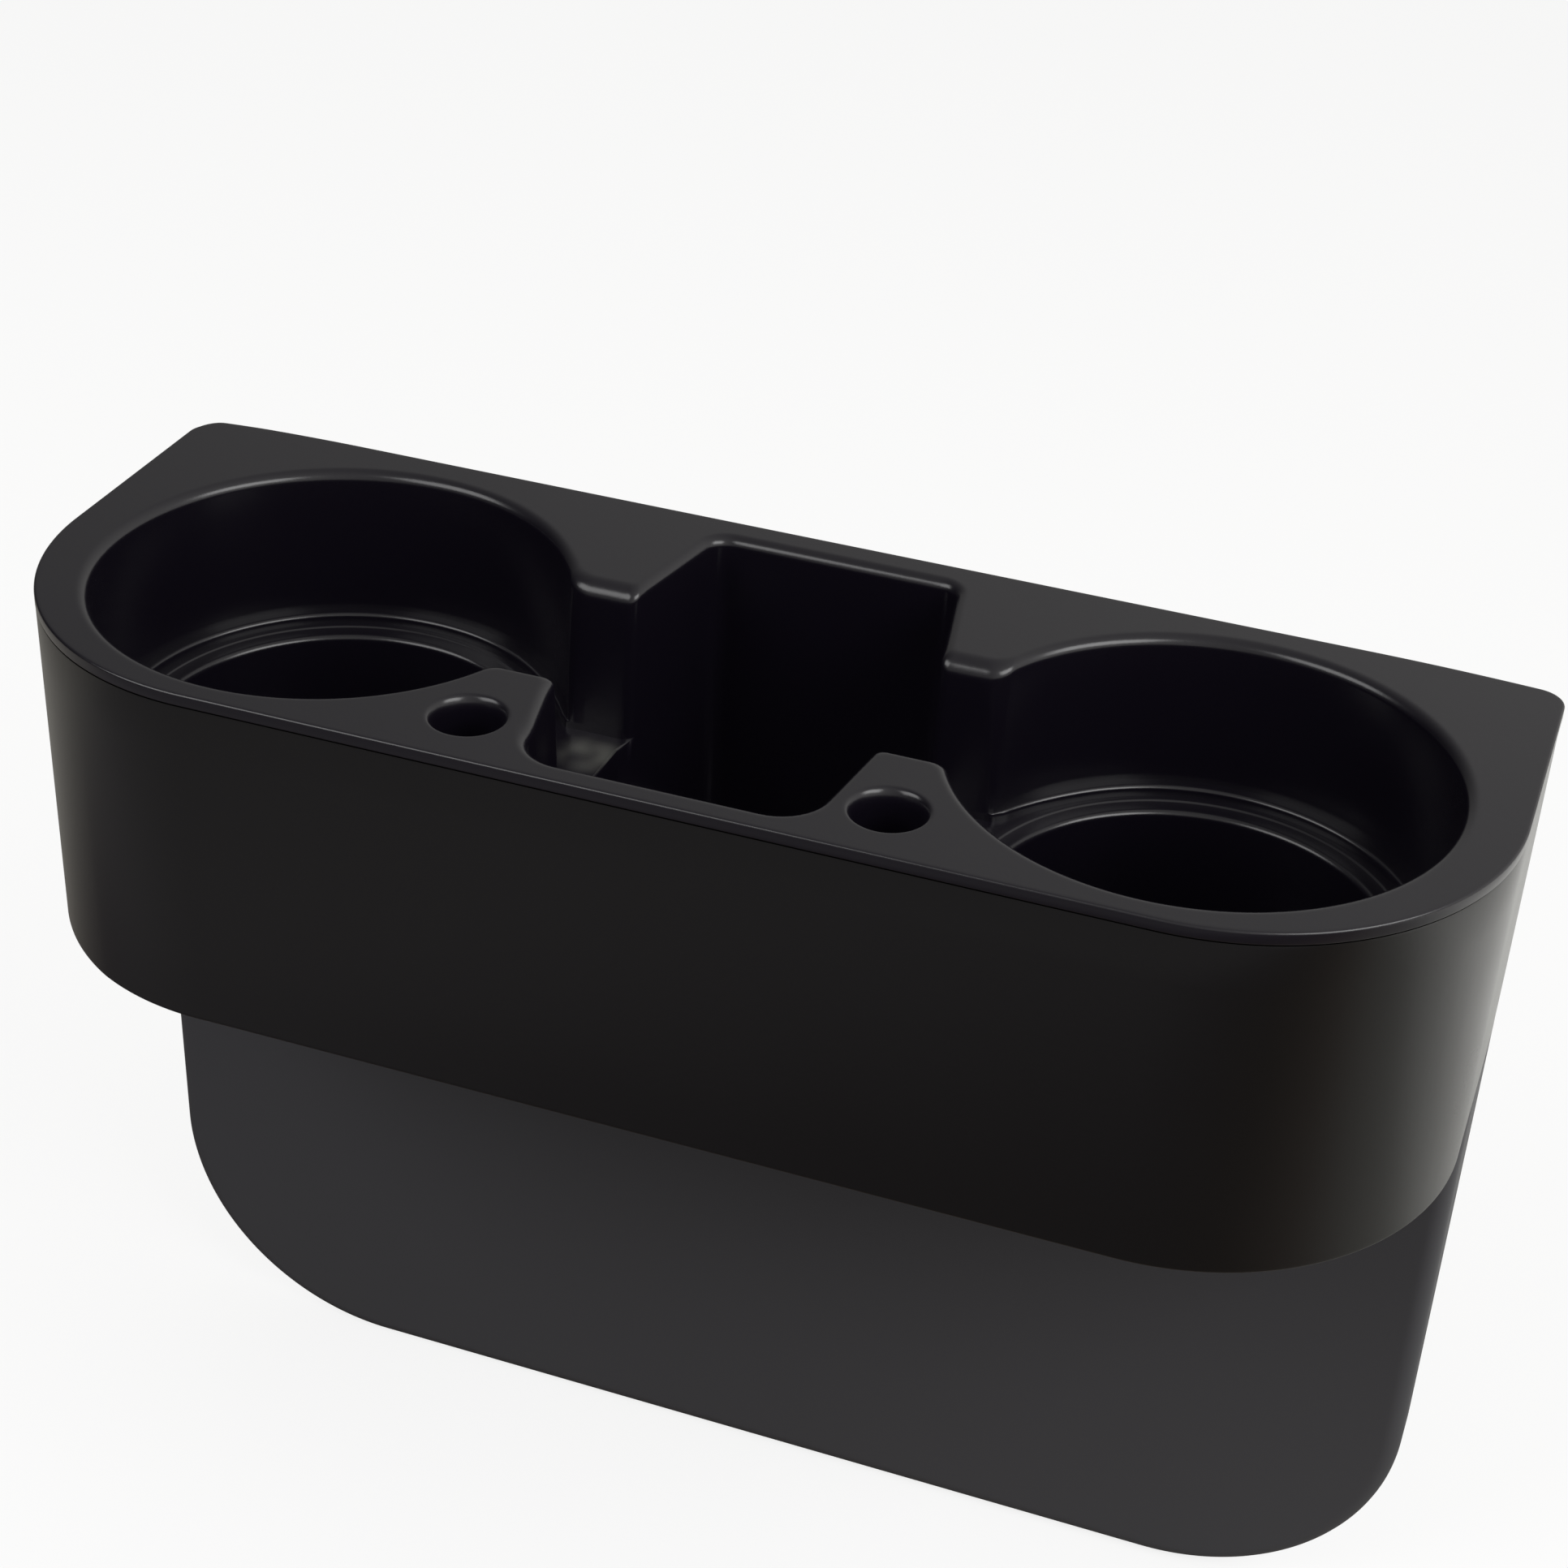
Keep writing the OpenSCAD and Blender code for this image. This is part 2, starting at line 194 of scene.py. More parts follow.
class Skin:
    """A mesh put together from loops of points, strips between them and flat regions."""

    def __init__(self):
        self.points = []
        self.faces = []

    def add(self, points):
        """Adds the points and gives their numbers."""
        start = len(self.points)
        self.points += points
        return list(range(start, len(self.points)))

    def loop(self, xy, z):
        """A loop at the height z, or with a height for each point."""
        z = np.broadcast_to(z, len(xy))
        xy = as_moulded(np.asarray(xy, float), z)
        return self.add([(p[0], p[1], h) for p, h in zip(xy, z)])

    def strip(self, a, b, closed=True):
        n = len(a)
        for i in range(n if closed else n - 1):
            j = (i + 1) % n
            self.faces.append((a[i], a[j], b[j], b[i]))

    def stack(self, loops, closed=True):
        for a, b in zip(loops, loops[1:]):
            self.strip(a, b, closed)

    def face(self, loop):
        self.faces.append(tuple(loop))

    def region(self, rings, axes=(0, 1)):
        """Fills the flat region inside the first ring and outside the others."""
        ids = [i for ring in rings for i in ring]
        flat = [Vector([self.points[i][axis] for axis in axes]) for i in ids]
        edges, start = [], 0
        for ring in rings:
            n = len(ring)
            edges += [(start + k, start + (k + 1) % n) for k in range(n)]
            start += n
        verts, _, triangles, origins, _, _ = delaunay_2d_cdt(flat, edges, [], 0, MERGE, True)
        own = [ids[origin[0]] if origin else None for origin in origins]
        outlines = [np.array([[self.points[i][axis] for axis in axes] for i in ring]) for ring in rings]
        for t in triangles:
            u, v = verts[t[1]] - verts[t[0]], verts[t[2]] - verts[t[0]]
            if abs(u.x * v.y - u.y * v.x) < SLIVER * max(u.length, v.length):
                continue
            centre = sum((verts[i] for i in t), Vector((0, 0))) / len(t)
            if not inside(centre, outlines[0]) or any(inside(centre, o) for o in outlines[1:]):
                continue
            if None not in [own[i] for i in t]:
                self.faces.append(tuple(own[i] for i in t))

    def build(self, name):
        """Welds the points, marks the sharp edges and links the finished object."""
        mesh = bpy.data.meshes.new(name)
        bm = bmesh.new()
        verts = [bm.verts.new(to_frame(p)) for p in self.points]
        for face in self.faces:
            bm.faces.new([verts[i] for i in face])
        bmesh.ops.remove_doubles(bm, verts=bm.verts, dist=WELD)
        bmesh.ops.dissolve_degenerate(bm, dist=LEAST_EDGE, edges=bm.edges)
        bmesh.ops.delete(bm, geom=[e for e in bm.edges if not e.link_faces], context="EDGES")
        bmesh.ops.delete(bm, geom=[v for v in bm.verts if not v.link_faces], context="VERTS")
        bmesh.ops.recalc_face_normals(bm, faces=bm.faces)
        for face in bm.faces:
            face.smooth = True
        for edge in bm.edges:
            if len(edge.link_faces) == 2:
                edge.smooth = edge.calc_face_angle(0) < SHARP
        bm.to_mesh(mesh)
        bm.free()
        obj = bpy.data.objects.new(name, mesh)
        bpy.context.collection.objects.link(obj)
        return obj


def arc(c, r, a0, a1, n):
    """An arc from a0 to a1 degrees, in n steps."""
    return [(c[0] + r * math.cos(t), c[1] + r * math.sin(t)) for t in np.radians(np.linspace(a0, a1, n + 1))]


def circle(c, r, n):
    return arc(c, r, 0, 360, n)[:-1]


def line(a, b, n):
    """The n - 1 points between a and b."""
    return [(a[0] + (b[0] - a[0]) * k / n, a[1] + (b[1] - a[1]) * k / n) for k in range(1, n)]


def corner(p0, p, p2, r, n):
    """The arc that rounds the corner at p."""
    p0, p, p2 = (np.array(q, float) for q in (p0, p, p2))
    d1 = (p - p0) / np.linalg.norm(p - p0)
    d2 = (p2 - p) / np.linalg.norm(p2 - p)
    side = 1 if d1[0] * d2[1] - d1[1] * d2[0] > 0 else -1
    turn = math.acos(max(-1, min(1, float(d1 @ d2))))
    a = p - d1 * r * math.tan(turn / 2)
    c = a + np.array([-d1[1], d1[0]]) * side * r
    start = math.degrees(math.atan2(*(a - c)[::-1]))
    return arc(c, r, start, start + side * math.degrees(turn), n)


def mirrored(half):
    """A right half from front middle to back middle, closed with its mirror image."""
    half = np.asarray(half)
    left = half[::-1].copy()
    left[:, 0] *= -1
    return np.vstack([half, left[1:-1]])


def normals(xy):
    """Unit vectors square to a closed outline, which point out of one that runs anticlockwise."""
    d = np.roll(xy, -1, 0) - np.roll(xy, 1, 0)
    d /= np.linalg.norm(d, axis=1)[:, None]
    return np.column_stack([d[:, 1], -d[:, 0]])


def outline(inset):
    """The plate's outline, or the one of a wall that stands back from it."""
    r_front, r_back = FRONT_R - inset, BACK_R - inset
    right, front, back = HALF_L - inset, FRONT - inset, BACK - inset
    front_y = FRONT_R - FRONT
    ease = (EASE_X, BACK - EASE_R)
    back_x = HALF_L - BACK_R
    back_corner = (back_x, ease[1] + math.sqrt((EASE_R - BACK_R) ** 2 - (back_x - EASE_X) ** 2))
    lean = math.degrees(math.atan2(back_corner[1] - ease[1], back_corner[0] - ease[0]))
    straight = (right, STRAIGHT_END)
    half = [(0.0, -front)] + line((0, -front), (HALF_L - FRONT_R, -front), N_PLATE_LONG)
    half += arc((HALF_L - FRONT_R, front_y), r_front, -90, 0, N_PLATE_FRONT)
    half += line((right, front_y), straight, N_PLATE_SHORT) + [straight]
    half += line(straight, (right, back_corner[1]), N_PLATE_SHORT)
    half += arc(back_corner, r_back, 0, lean, N_PLATE_BACK)
    half += arc(ease, EASE_R - inset, lean, 90, N_PLATE_BACK)[1:]
    half += line((EASE_X, back), (0, back), N_PLATE_LONG) + [(0.0, back)]
    return mirrored(np.array(half))


def into_cup(y, r, sign, cup, run_on):
    """The rounding from a channel's wall into the cup, and the cup's angle there. With
    run_on, an x, the wall first runs on from there."""
    centre = (CUP_X - math.sqrt((cup + r) ** 2 - (y + r) ** 2), sign * (y + r))
    stop = math.degrees(math.atan2(-centre[1], CUP_X - centre[0]))
    turn = math.degrees(math.atan2(centre[1], centre[0] - CUP_X))
    if run_on is None:
        return arc(centre, r, -sign * 90, stop, N_ROUND), turn
    start = (run_on, sign * y)
    wall = [start] + line(start, (centre[0], sign * y), N_RUN)
    return wall + arc(centre, r, -sign * 90, stop, N_ROUND - N_RUN), turn


def opening(
    grow=0.0, cup=CUP_R, back=CHANNEL_BACK, front=CHANNEL_FRONT, rounds=WALL_ROUNDS, run_on=(None, None)
):
    """Right half of the outline round the pocket, the channel and the cup. grow moves the
    pocket's walls out, and run_on is for an inner ring whose channel walls run on."""
    sin_f, cos_f = math.sin(SLANT_FRONT), math.cos(SLANT_FRONT)
    sin_b, cos_b = math.sin(SLANT_BACK), math.cos(SLANT_BACK)
    low, high = POCKET_FRONT + grow, POCKET_BACK + grow
    front_corner = (HALF_FRONT + grow * (1 - sin_f) / cos_f, -low)
    front_side = (HALF_FRONT + (grow + (POCKET_FRONT - front) * sin_f) / cos_f, -front)
    back_side = (HALF_BACK + (grow + (POCKET_BACK - back) * sin_b) / cos_b, back)
    back_corner = (HALF_BACK + grow * (1 - sin_b) / cos_b, high)
    a1 = corner((0, -low), front_corner, front_side, rounds[0], N_ROUND)
    a2 = corner(front_corner, front_side, (CUP_X, -front), rounds[1], N_ROUND)
    a3, start = into_cup(front, rounds[2], -1, cup, run_on[0])
    a4, stop = into_cup(back, rounds[3], 1, cup, run_on[1])
    a4 = a4[::-1]
    a5 = corner((CUP_X, back), back_side, back_corner, rounds[4], N_ROUND)
    a6 = corner(back_side, back_corner, (0, high), rounds[5], N_ROUND)
    half = [(0.0, -low)] + line((0, -low), a1[0], N_END) + a1
    half += line(a1[-1], a2[0], N_SIDE) + a2 + line(a2[-1], a3[0], N_CHANNEL) + a3
    half += arc((CUP_X, 0), cup, start % 360, stop + 360, N_CUP)[1:-1]
    half += a4 + line(a4[-1], a5[0], N_CHANNEL) + a5 + line(a5[-1], a6[0], N_SIDE) + a6
    half += line(a6[-1], (0, high), N_END) + [(0.0, high)]
    return np.array(half)


# Where the pieces of that outline start, counted along the right half
I_D = N_END + N_ROUND + N_SIDE
I_CHANNEL_F = I_D + N_ROUND
I_D0 = I_CHANNEL_F + N_CHANNEL
I_CUP = I_D0 + N_ROUND
I_C0 = I_CUP + N_CUP
I_CHANNEL_B = I_C0 + N_ROUND
I_P = I_CHANNEL_B + N_CHANNEL
I_SIDE_B = I_P + N_ROUND
HALF_N = I_SIDE_B + N_SIDE + N_ROUND + N_END + 1


def along(values):
    """One value a point, from (index, value) pairs, the same on both sides."""
    half = np.interp(np.arange(HALF_N), [v[0] for v in values], [v[1] for v in values])
    return np.concatenate([half, half[::-1][1:-1]])


def channel_side(ring, side):
    """The stretch of a ring round the opening that a side's channel and cup share."""
    if side > 0:
        return ring[I_D:I_SIDE_B + 1]
    return ring[len(ring) - I_SIDE_B:len(ring) - I_D + 1]


def on_side(xy, side):
    """The points on the right, or their mirror image in the order of the outline."""
    if side > 0:
        return xy
    left = xy[::-1].copy()
    left[:, 0] *= -1
    return left


MOUTH = along((
    (0, POCKET_MOUTH),
    (I_D, POCKET_MOUTH),
    (I_CHANNEL_F, CHANNEL_FRONT_MOUTH),
    (I_D0, CHANNEL_FRONT_MOUTH),
    (I_CUP, CUP_MOUTH),
    (I_C0, CUP_MOUTH),
    (I_CHANNEL_B, CHANNEL_BACK_MOUTH),
    (I_P, CHANNEL_BACK_MOUTH),
    (I_SIDE_B, POCKET_MOUTH),
    (HALF_N - 1, POCKET_MOUTH),
))
WALL_XY = mirrored(opening())
WALL_OUT = normals(WALL_XY)
CRISP_XY = mirrored(opening(rounds=CRISP_ROUNDS))


def wall_down(depth):
    """The opening's outline at a depth: drawn in by the draft, with crisper corners at the cups."""
    share = min(1.0, depth / CRISP_DEPTH)
    drawn_in = DRAFT * np.maximum(depth - MOUTH, 0)
    return WALL_XY * (1 - share) + CRISP_XY * share - WALL_OUT * drawn_in[:, None]


def plate_rim(s):
    """The plate's rounded edge. Gives its ring on the top face and the one underneath."""
    rim = outline(0)
    out = normals(rim)
    rings = [s.loop(rim - out * (RIM_ROUND + RIM_FLAT), 0), s.loop(rim - out * RIM_ROUND, 0)]
    for a in quarter(Q_RIM, 1):
        inset = RIM_ROUND * (1 - math.sin(a))
        rings.append(s.loop(rim - out * inset, -RIM_ROUND * (1 - math.cos(a))))
    rings.append(s.loop(rim, RIM_FOOT - PLATE_T))
    for a in quarter(Q_RIM_FOOT, 1):
        inset = RIM_FOOT * (1 - math.cos(a))
        rings.append(s.loop(rim - out * inset, RIM_FOOT * (1 - math.sin(a)) - PLATE_T))
    s.stack(rings)
    return rings[0], rings[-1]


def opening_wall(s):
    """The opening's rounded mouth and drafted wall. Gives its first and last ring."""
    back = CHANNEL_BACK + CHANNEL_BACK_MOUTH
    front = CHANNEL_FRONT + CHANNEL_FRONT_MOUTH
    top = mirrored(opening(POCKET_MOUTH, CUP_R + CUP_MOUTH, back, front, TOP_ROUNDS))
    rings = [s.loop(top + normals(top) * MOUTH_FLAT, 0), s.loop(top, 0)]
    for a in quarter(Q_MOUTH, 1):
        xy = WALL_XY + (top - WALL_XY) * (1 - math.sin(a))
        rings.append(s.loop(xy, -MOUTH * (1 - math.cos(a))))
    for z in (*WALL_LEVELS, STEP_Z):
        rings.append(s.loop(wall_down(-z), z))
    s.stack(rings)
    return rings[0], rings[-1]


def pen_hole(s, side):
    """A hole with a rounded mouth and floor. Gives its ring on the top face."""

    def ring(r, z):
        return s.loop(circle((side * PEN_X, PEN_Y), r, N_PEN), z)

    rings = [ring(PEN_R + PEN_MOUTH + MOUTH_FLAT, 0)]
    for a in quarter(Q_PEN):
        rings.append(ring(PEN_R + PEN_MOUTH * (1 - math.sin(a)), -PEN_MOUTH_DEPTH * (1 - math.cos(a))))
    rings.append(ring(PEN_R, PEN_FLOOR_ROUND - PEN_DEPTH))
    for a in quarter(Q_PEN_FLOOR, 1):
        inset = PEN_FLOOR_ROUND * (1 - math.cos(a))
        rings.append(ring(PEN_R - inset, PEN_FLOOR_ROUND * (1 - math.sin(a)) - PEN_DEPTH))
    s.stack(rings)
    s.face(rings[-1])
    return rings[0]


def cup_step(s, wall_ring):
    """The narrow step in the cups, with its rounded edge, and the riser under it. Gives
    the outline and the ring at the height of the ledge."""
    lower = wall_down(-STEP_Z)
    run_on = (lower[I_D0][0], lower[I_C0 + N_ROUND][0])
    ends = ((0, 0), (HALF_N - 1, 0))
    back_end = I_C0 + N_ROUND
    in_cup = along((ends[0], (I_D0 - 1, 0), (I_D0, 1), (back_end, 1), (back_end + 1, 0), ends[1]))[:, None]
    rounded = along((ends[0], (I_D0, 0), (I_D0 + 1, 1), (back_end - 1, 1), (back_end, 0), ends[1]))

    def ring_of(cup):
        return opening(0, cup, CHANNEL_BACK - LEAN, CHANNEL_FRONT - LEAN, STEP_ROUNDS, run_on)

    def step_edge(cup, z):
        """The step's edge, which flares so that the step narrows towards the channel."""
        plain = ring_of(cup)
        flared = ring_of(STEP_R + STEP_FLARE + FLARE_KEPT * (cup - STEP_R))
        turn = np.degrees(np.arctan2(np.abs(plain[:, 1]), CUP_X - plain[:, 0]))
        share = ramp(turn, *FLARE_TURN)[:, None] ** 2
        share[:I_CUP] = share[I_C0:] = 1
        share[I_CUP:I_C0][plain[I_CUP:I_C0, 0] > CUP_X] = 0
        ring = mirrored(plain * (1 - share) + flared * share)
        return ring * in_cup + wall_down(-z) * (1 - in_cup)

    previous = wall_ring
    angles = quarter(Q_STEP)
    for k, a in enumerate(angles):
        round_z = STEP_Z - STEP_EDGE * (1 - math.cos(a))
        plain_z = STEP_Z - STEP_GAP - STEP_EDGE * k / len(angles)
        xy = step_edge(STEP_R + STEP_EDGE * (1 - math.sin(a)), STEP_Z)
        ring = s.loop(xy, rounded * round_z + (1 - rounded) * plain_z)
        s.strip(previous, ring)
        previous = ring
    ledge_xy = step_edge(STEP_R, LEDGE_Z)
    ledge = s.loop(ledge_xy, LEDGE_Z)
    s.strip(previous, ledge)
    return ledge_xy, ledge


def pocket_edge(outline_xy, x):
    """The pocket's wall under the right channel, from the front slant to the back slant."""
    p0, p3 = outline_xy[I_D], outline_xy[I_SIDE_B]
    p1 = (x, p0[1] + (x - p0[0]) / math.tan(SLANT_FRONT))
    p2 = (x, p3[1] - (x - p3[0]) / math.tan(SLANT_BACK))
    points = [tuple(p0)] + line(p0, p1, N_SLANT) + corner(p0, p1, p2, EDGE_CORNER, N_EDGE_CORNER)
    points += line(points[-1], (x, p2[1] - EDGE_GAP), N_EDGE)
    points += corner(p1, p2, p3, EDGE_CORNER, N_EDGE_CORNER)
    return np.array(points + line(points[-1], p3, N_SLANT) + [tuple(p3)])


def edge_softness(edge):
    """The radius of the pocket's edge under a channel, which fades out at its two ends."""
    way = np.concatenate([[0], np.cumsum(np.linalg.norm(np.diff(edge, axis=0), axis=1))])
    return EDGE_SOFT * ramp(np.minimum(way, way[-1] - way), *SOFT_START)


def cup_well(s, side):
    """The ledge's fine rings, and the well with its rounded edge and floor. Gives the first ring."""

    def ring(r, z):
        return s.loop(circle((side * CUP_X, 0), r, N_WELL), z)

    rings = [ring(r, z) for r, z in LEDGE_RINGS]
    for a in quarter(Q_WELL):
        rings.append(ring(WELL_R + WELL_EDGE * (1 - math.sin(a)), LEDGE_LOW - WELL_EDGE * (1 - math.cos(a))))
    for z in (*WELL_LEVELS, FLOOR_Z + FLOOR_ROUND):
        rings.append(ring(WELL_R + (z - LEDGE_Z) * DRAFT, z))
    low_r = WELL_R - (LEDGE_Z - FLOOR_Z) * DRAFT
    for a in quarter(Q_FLOOR, 1):
        inset = FLOOR_ROUND * (1 - math.cos(a))
        rings.append(ring(low_r - inset, FLOOR_Z + FLOOR_ROUND * (1 - math.sin(a))))
    s.stack(rings)
    s.face(rings[-1])
    return rings[0]


def channel_floor(s, ledge, edge, soft, side):
    """A side's ledge and channel floor, from the pocket's soft edge to the well."""
    d = np.gradient(edge, axis=0)
    d /= np.linalg.norm(d, axis=1)[:, None]
    out = np.column_stack([d[:, 1], -d[:, 0]])
    rows = []
    for a in quarter(Q_SOFT):
        xy = on_side(edge + out * (soft * (1 - math.sin(a)))[:, None], side)
        z = LEDGE_Z - soft * (1 - math.cos(a))
        rows.append(s.loop(xy, z[::side]))
    s.stack(rows, closed=False)
    well = cup_well(s, side)
    s.region([channel_side(ledge, side) + rows[0][1:-1][::-1], well])


def pocket_below(s, ledge_xy, edge, soft):
    """The pocket under the channels' floors, with its rounded floor."""
    pocket = mirrored(np.vstack([ledge_xy[:I_D + 1], edge[1:-1], ledge_xy[I_SIDE_B:HALF_N]]))
    out = normals(pocket)
    half_drop = np.concatenate([np.zeros(I_D + 1), soft[1:-1], np.zeros(HALF_N - I_SIDE_B)])
    drop = np.concatenate([half_drop, half_drop[::-1][1:-1]])
    rows = [s.loop(pocket, LEDGE_Z - drop)]
    for z in (*POCKET_LEVELS, FLOOR_Z + FLOOR_ROUND):
        rows.append(s.loop(pocket - out * (LEDGE_Z - z) * DRAFT, z))
    base = pocket - out * (LEDGE_Z - FLOOR_Z) * DRAFT
    for a in quarter(Q_FLOOR, 1):
        xy = base - out * FLOOR_ROUND * (1 - math.cos(a))
        rows.append(s.loop(xy, FLOOR_Z + FLOOR_ROUND * (1 - math.sin(a))))
    s.stack(rows)
    s.region([rows[-1]])


def closed_tube(s, centre, r, n, top, bottom):
    """A plain tube with a flat end below. Gives its upper ring."""
    rings = [s.loop(circle(centre, r, n), z) for z in (top, bottom)]
    s.stack(rings)
    s.face(rings[-1])
    return rings[0]


def hidden_outside(s, plate_ring):
    """The hidden outside of the moulding, an even wall under everything."""

    def grown(grow):
        back, front = CHANNEL_BACK + grow, CHANNEL_FRONT + grow
        return mirrored(opening(grow, CUP_R + grow, back, front, HIDDEN_ROUNDS))

    under_xy = grown(WALL - LEAN)
    upper, under = s.loop(grown(WALL), -PLATE_T), s.loop(under_xy, LEDGE_Z - WALL)
    s.strip(upper, under)
    pens = []
    for side in SIDES:
        centre = (side * PEN_X, PEN_Y)
        pens.append(closed_tube(s, centre, PEN_R + PEN_WALL, N_HIDDEN_PEN, -PLATE_T, -PEN_DEPTH - WALL))
    s.region([plate_ring, upper] + pens)
    edge = pocket_edge(under_xy, HALF_MID + WALL - LEAN)
    lips = []
    for side in SIDES:
        lip = s.loop(on_side(edge, side)[1:-1], LEDGE_Z - WALL)
        well = closed_tube(s, (side * CUP_X, 0), WELL_R + WALL, N_HIDDEN_CUP, LEDGE_Z - WALL, FLOOR_Z - WALL)
        s.region([channel_side(under, side) + lip[::-1], well])
        lips.append(lip)
    first, last = len(under) - I_SIDE_B, len(under) - I_D
    ring = under[:I_D + 1] + lips[0] + under[I_SIDE_B:first + 1] + lips[1] + under[last:]
    foot_xy = np.array([s.points[i][:2] for i in ring])
    foot = s.loop(foot_xy - normals(foot_xy) * FOOT_IN, FLOOR_Z - WALL)
    s.strip(ring, foot)
    s.region([foot])


def make_tray():
    s = Skin()
    plate_top, plate_foot = plate_rim(s)
    mouth_ring, wall_ring = opening_wall(s)
    s.region([plate_top, mouth_ring] + [pen_hole(s, side) for side in SIDES])
    ledge_xy, ledge = cup_step(s, wall_ring)
    edge = pocket_edge(ledge_xy, HALF_MID - LEAN)
    soft = edge_softness(edge)
    for side in SIDES:
        channel_floor(s, ledge, edge, soft, side)
    pocket_below(s, ledge_xy, edge, soft)
    hidden_outside(s, plate_foot)
    return s.build("tray_moulding")


def shell_body(s):
    """The body: its inside, the seam under the plate, the drafted wall and the rounded foot."""
    base = outline(SETBACK)
    out = normals(base)
    # the front left corner stands out a little towards its foot
    bulge = ramp(base[:, 0], *BULGE_X) * ramp(base[:, 1], *BULGE_Y)
    edge = BODY_EDGE * ramp(base[:, 1], *EDGE_ZONE)

    def wall_at(z, inset=0.0):
        low = (-z - PLATE_T) / (BODY_H - PLATE_T)
        drawn_in = inset + (-z - PLATE_T) * SHELL_DRAFT - bulge * (BULGE_TOP + BULGE_FOOT * low)
        return base - out * drawn_in[:, None]

    rows = [s.loop(wall_at(-BODY_H, SHELL_T), SHELL_T - BODY_H)]
    rows.append(s.loop(wall_at(-PLATE_T, SHELL_T), -PLATE_T))
    for inset, depth in SEAM_ROWS:
        rows.append(s.loop(wall_at(-PLATE_T, inset), -PLATE_T - depth))
    for z in BODY_LEVELS:
        rows.append(s.loop(wall_at(z), z))
    for above in ABOVE_EDGE:
        rows.append(s.loop(wall_at(-BODY_H), -BODY_H + edge + above))
    for a in quarter(Q_BODY):
        xy = wall_at(-BODY_H, edge * (1 - math.cos(a)))
        rows.append(s.loop(xy, -BODY_H + edge * (1 - math.sin(a))))
    s.stack(rows)
    s.region([rows[0]])
    s.region([rows[-1]])


def wedge_outline(side_top):
    """The wedge seen from the front, as x and z."""
    side_low = side_top - WEDGE_TAPER
    shoulder = (side_top - WEDGE_SHOULDER, WEDGE_INTO - BODY_H)
    top, foot = (side_top, -BODY_H), (side_low - WEDGE_CORNER, WEDGE_LOW)
    half = [(0.0, shoulder[1])] + line((0, shoulder[1]), shoulder, N_WEDGE_TOP) + [shoulder, top]
    half += line(top, (side_low, WEDGE_LOW + WEDGE_CORNER), N_WEDGE_SIDE)
    half += arc((foot[0], WEDGE_LOW + WEDGE_CORNER), WEDGE_CORNER, 0, -90, N_WEDGE_CORNER)
    half += line(foot, (0, WEDGE_LOW), N_WEDGE_FOOT) + [(0.0, WEDGE_LOW)]
    return mirrored(np.array(half))


def shell_wedge(s):
    """The wedge: a plate with rounded edges whose back slopes to a thin lower edge."""
    drawn_in = SETBACK + (BODY_H - PLATE_T) * SHELL_DRAFT
    side_top, back_top = HALF_L - drawn_in, BACK - drawn_in
    ring = wedge_outline(side_top)
    x, z = ring.T
    # the outline runs clockwise, so these point inwards
    inward = normals(ring)
    high = z > -BODY_H - TOLERANCE
    inward[high] = np.column_stack([-x[high] / side_top, 0 * x[high]])
    reach = (z - WEDGE_LOW) / (-BODY_H - WEDGE_LOW)
    share = np.clip(reach, 0, 1)
    over = np.clip(np.abs(x) - EASE_X, 0, None)
    ease = EASE_R - np.sqrt(EASE_R ** 2 - over ** 2)
    back = WEDGE_FRONT + WEDGE_TIP + reach * (back_top - WEDGE_FRONT - WEDGE_TIP)
    back = back + (back_shift(x) - WEDGE_BACK_IN - ease) * share
    back = back - WEDGE_LEAN * np.clip(z + BODY_H, 0, None)
    back_round = BACK_ROUND_LOW + (BACK_ROUND_MORE + BACK_ROUND_LEFT * ramp(x, *LEFT_REACH)) * share

    def put(inset, y):
        xz = ring + inward * np.broadcast_to(inset, len(ring))[:, None]
        return s.add([(p[0], q, p[1]) for p, q in zip(xz, np.broadcast_to(y, len(ring)))])

    rows = [put(WEDGE_EDGE + WEDGE_FLAT, WEDGE_FRONT)]
    for a in quarter(Q_WEDGE_FRONT):
        rows.append(put(WEDGE_EDGE * (1 - math.sin(a)), WEDGE_FRONT + WEDGE_EDGE * (1 - math.cos(a))))
    for a in quarter(Q_WEDGE_BACK):
        rows.append(put(back_round * (1 - math.cos(a)), back - back_round * (1 - math.sin(a))))
    s.stack(rows)
    s.face(rows[0])
    s.region([rows[-1]], axes=(0, 2))


def make_shell():
    s = Skin()
    shell_body(s)
    shell_wedge(s)
    return s.build("shell_moulding")


tray = make_tray()
shell = make_shell()

# Materials. Scales are per metre, colours are linear.
TRAY_COLOUR, TRAY_ROUGH = (0.0040, 0.0031, 0.0060), 0.24
SHELL_COLOUR, SHELL_ROUGH = (0.002, 0.0017, 0.0017), 0.26
WEDGE_COLOUR, WEDGE_ROUGH, WEDGE_BELOW = (0.045, 0.045, 0.0505), 0.55, -0.0013
# Painted light: a pale patch on the left channel's floor stands in for lamp light falling there
LIT_PATCH_COLOUR, LIT_PATCH_AT = (0.085, 0.085, 0.077), (-34.0, 9.0, LEDGE_Z)
LIT_PATCH_CORE, LIT_PATCH_REACH, LIT_PATCH_THICK = 0.002, 0.008, 0.0003
LIT_PATCH_SCALE, LIT_PATCH_DETAIL, LIT_PATCH_BLOTCHES = 140.0, 1.0, (0.25, 0.7)
CLOUD_SCALE, CLOUD_DETAIL, CLOUD_SPREAD = 22.0, 3.0, 0.04
GRAIN_SCALE, GRAIN_DETAIL, GRAIN_STRENGTH, GRAIN_DEPTH = 900.0, 2.0, 0.05, 0.0002

# Sockets of the Mix node, by number: the factor, then the two values or the two colours
FACTOR, VALUE_A, VALUE_B, COLOUR_A, COLOUR_B, COLOUR_OUT = 0, 2, 3, 6, 7, 2


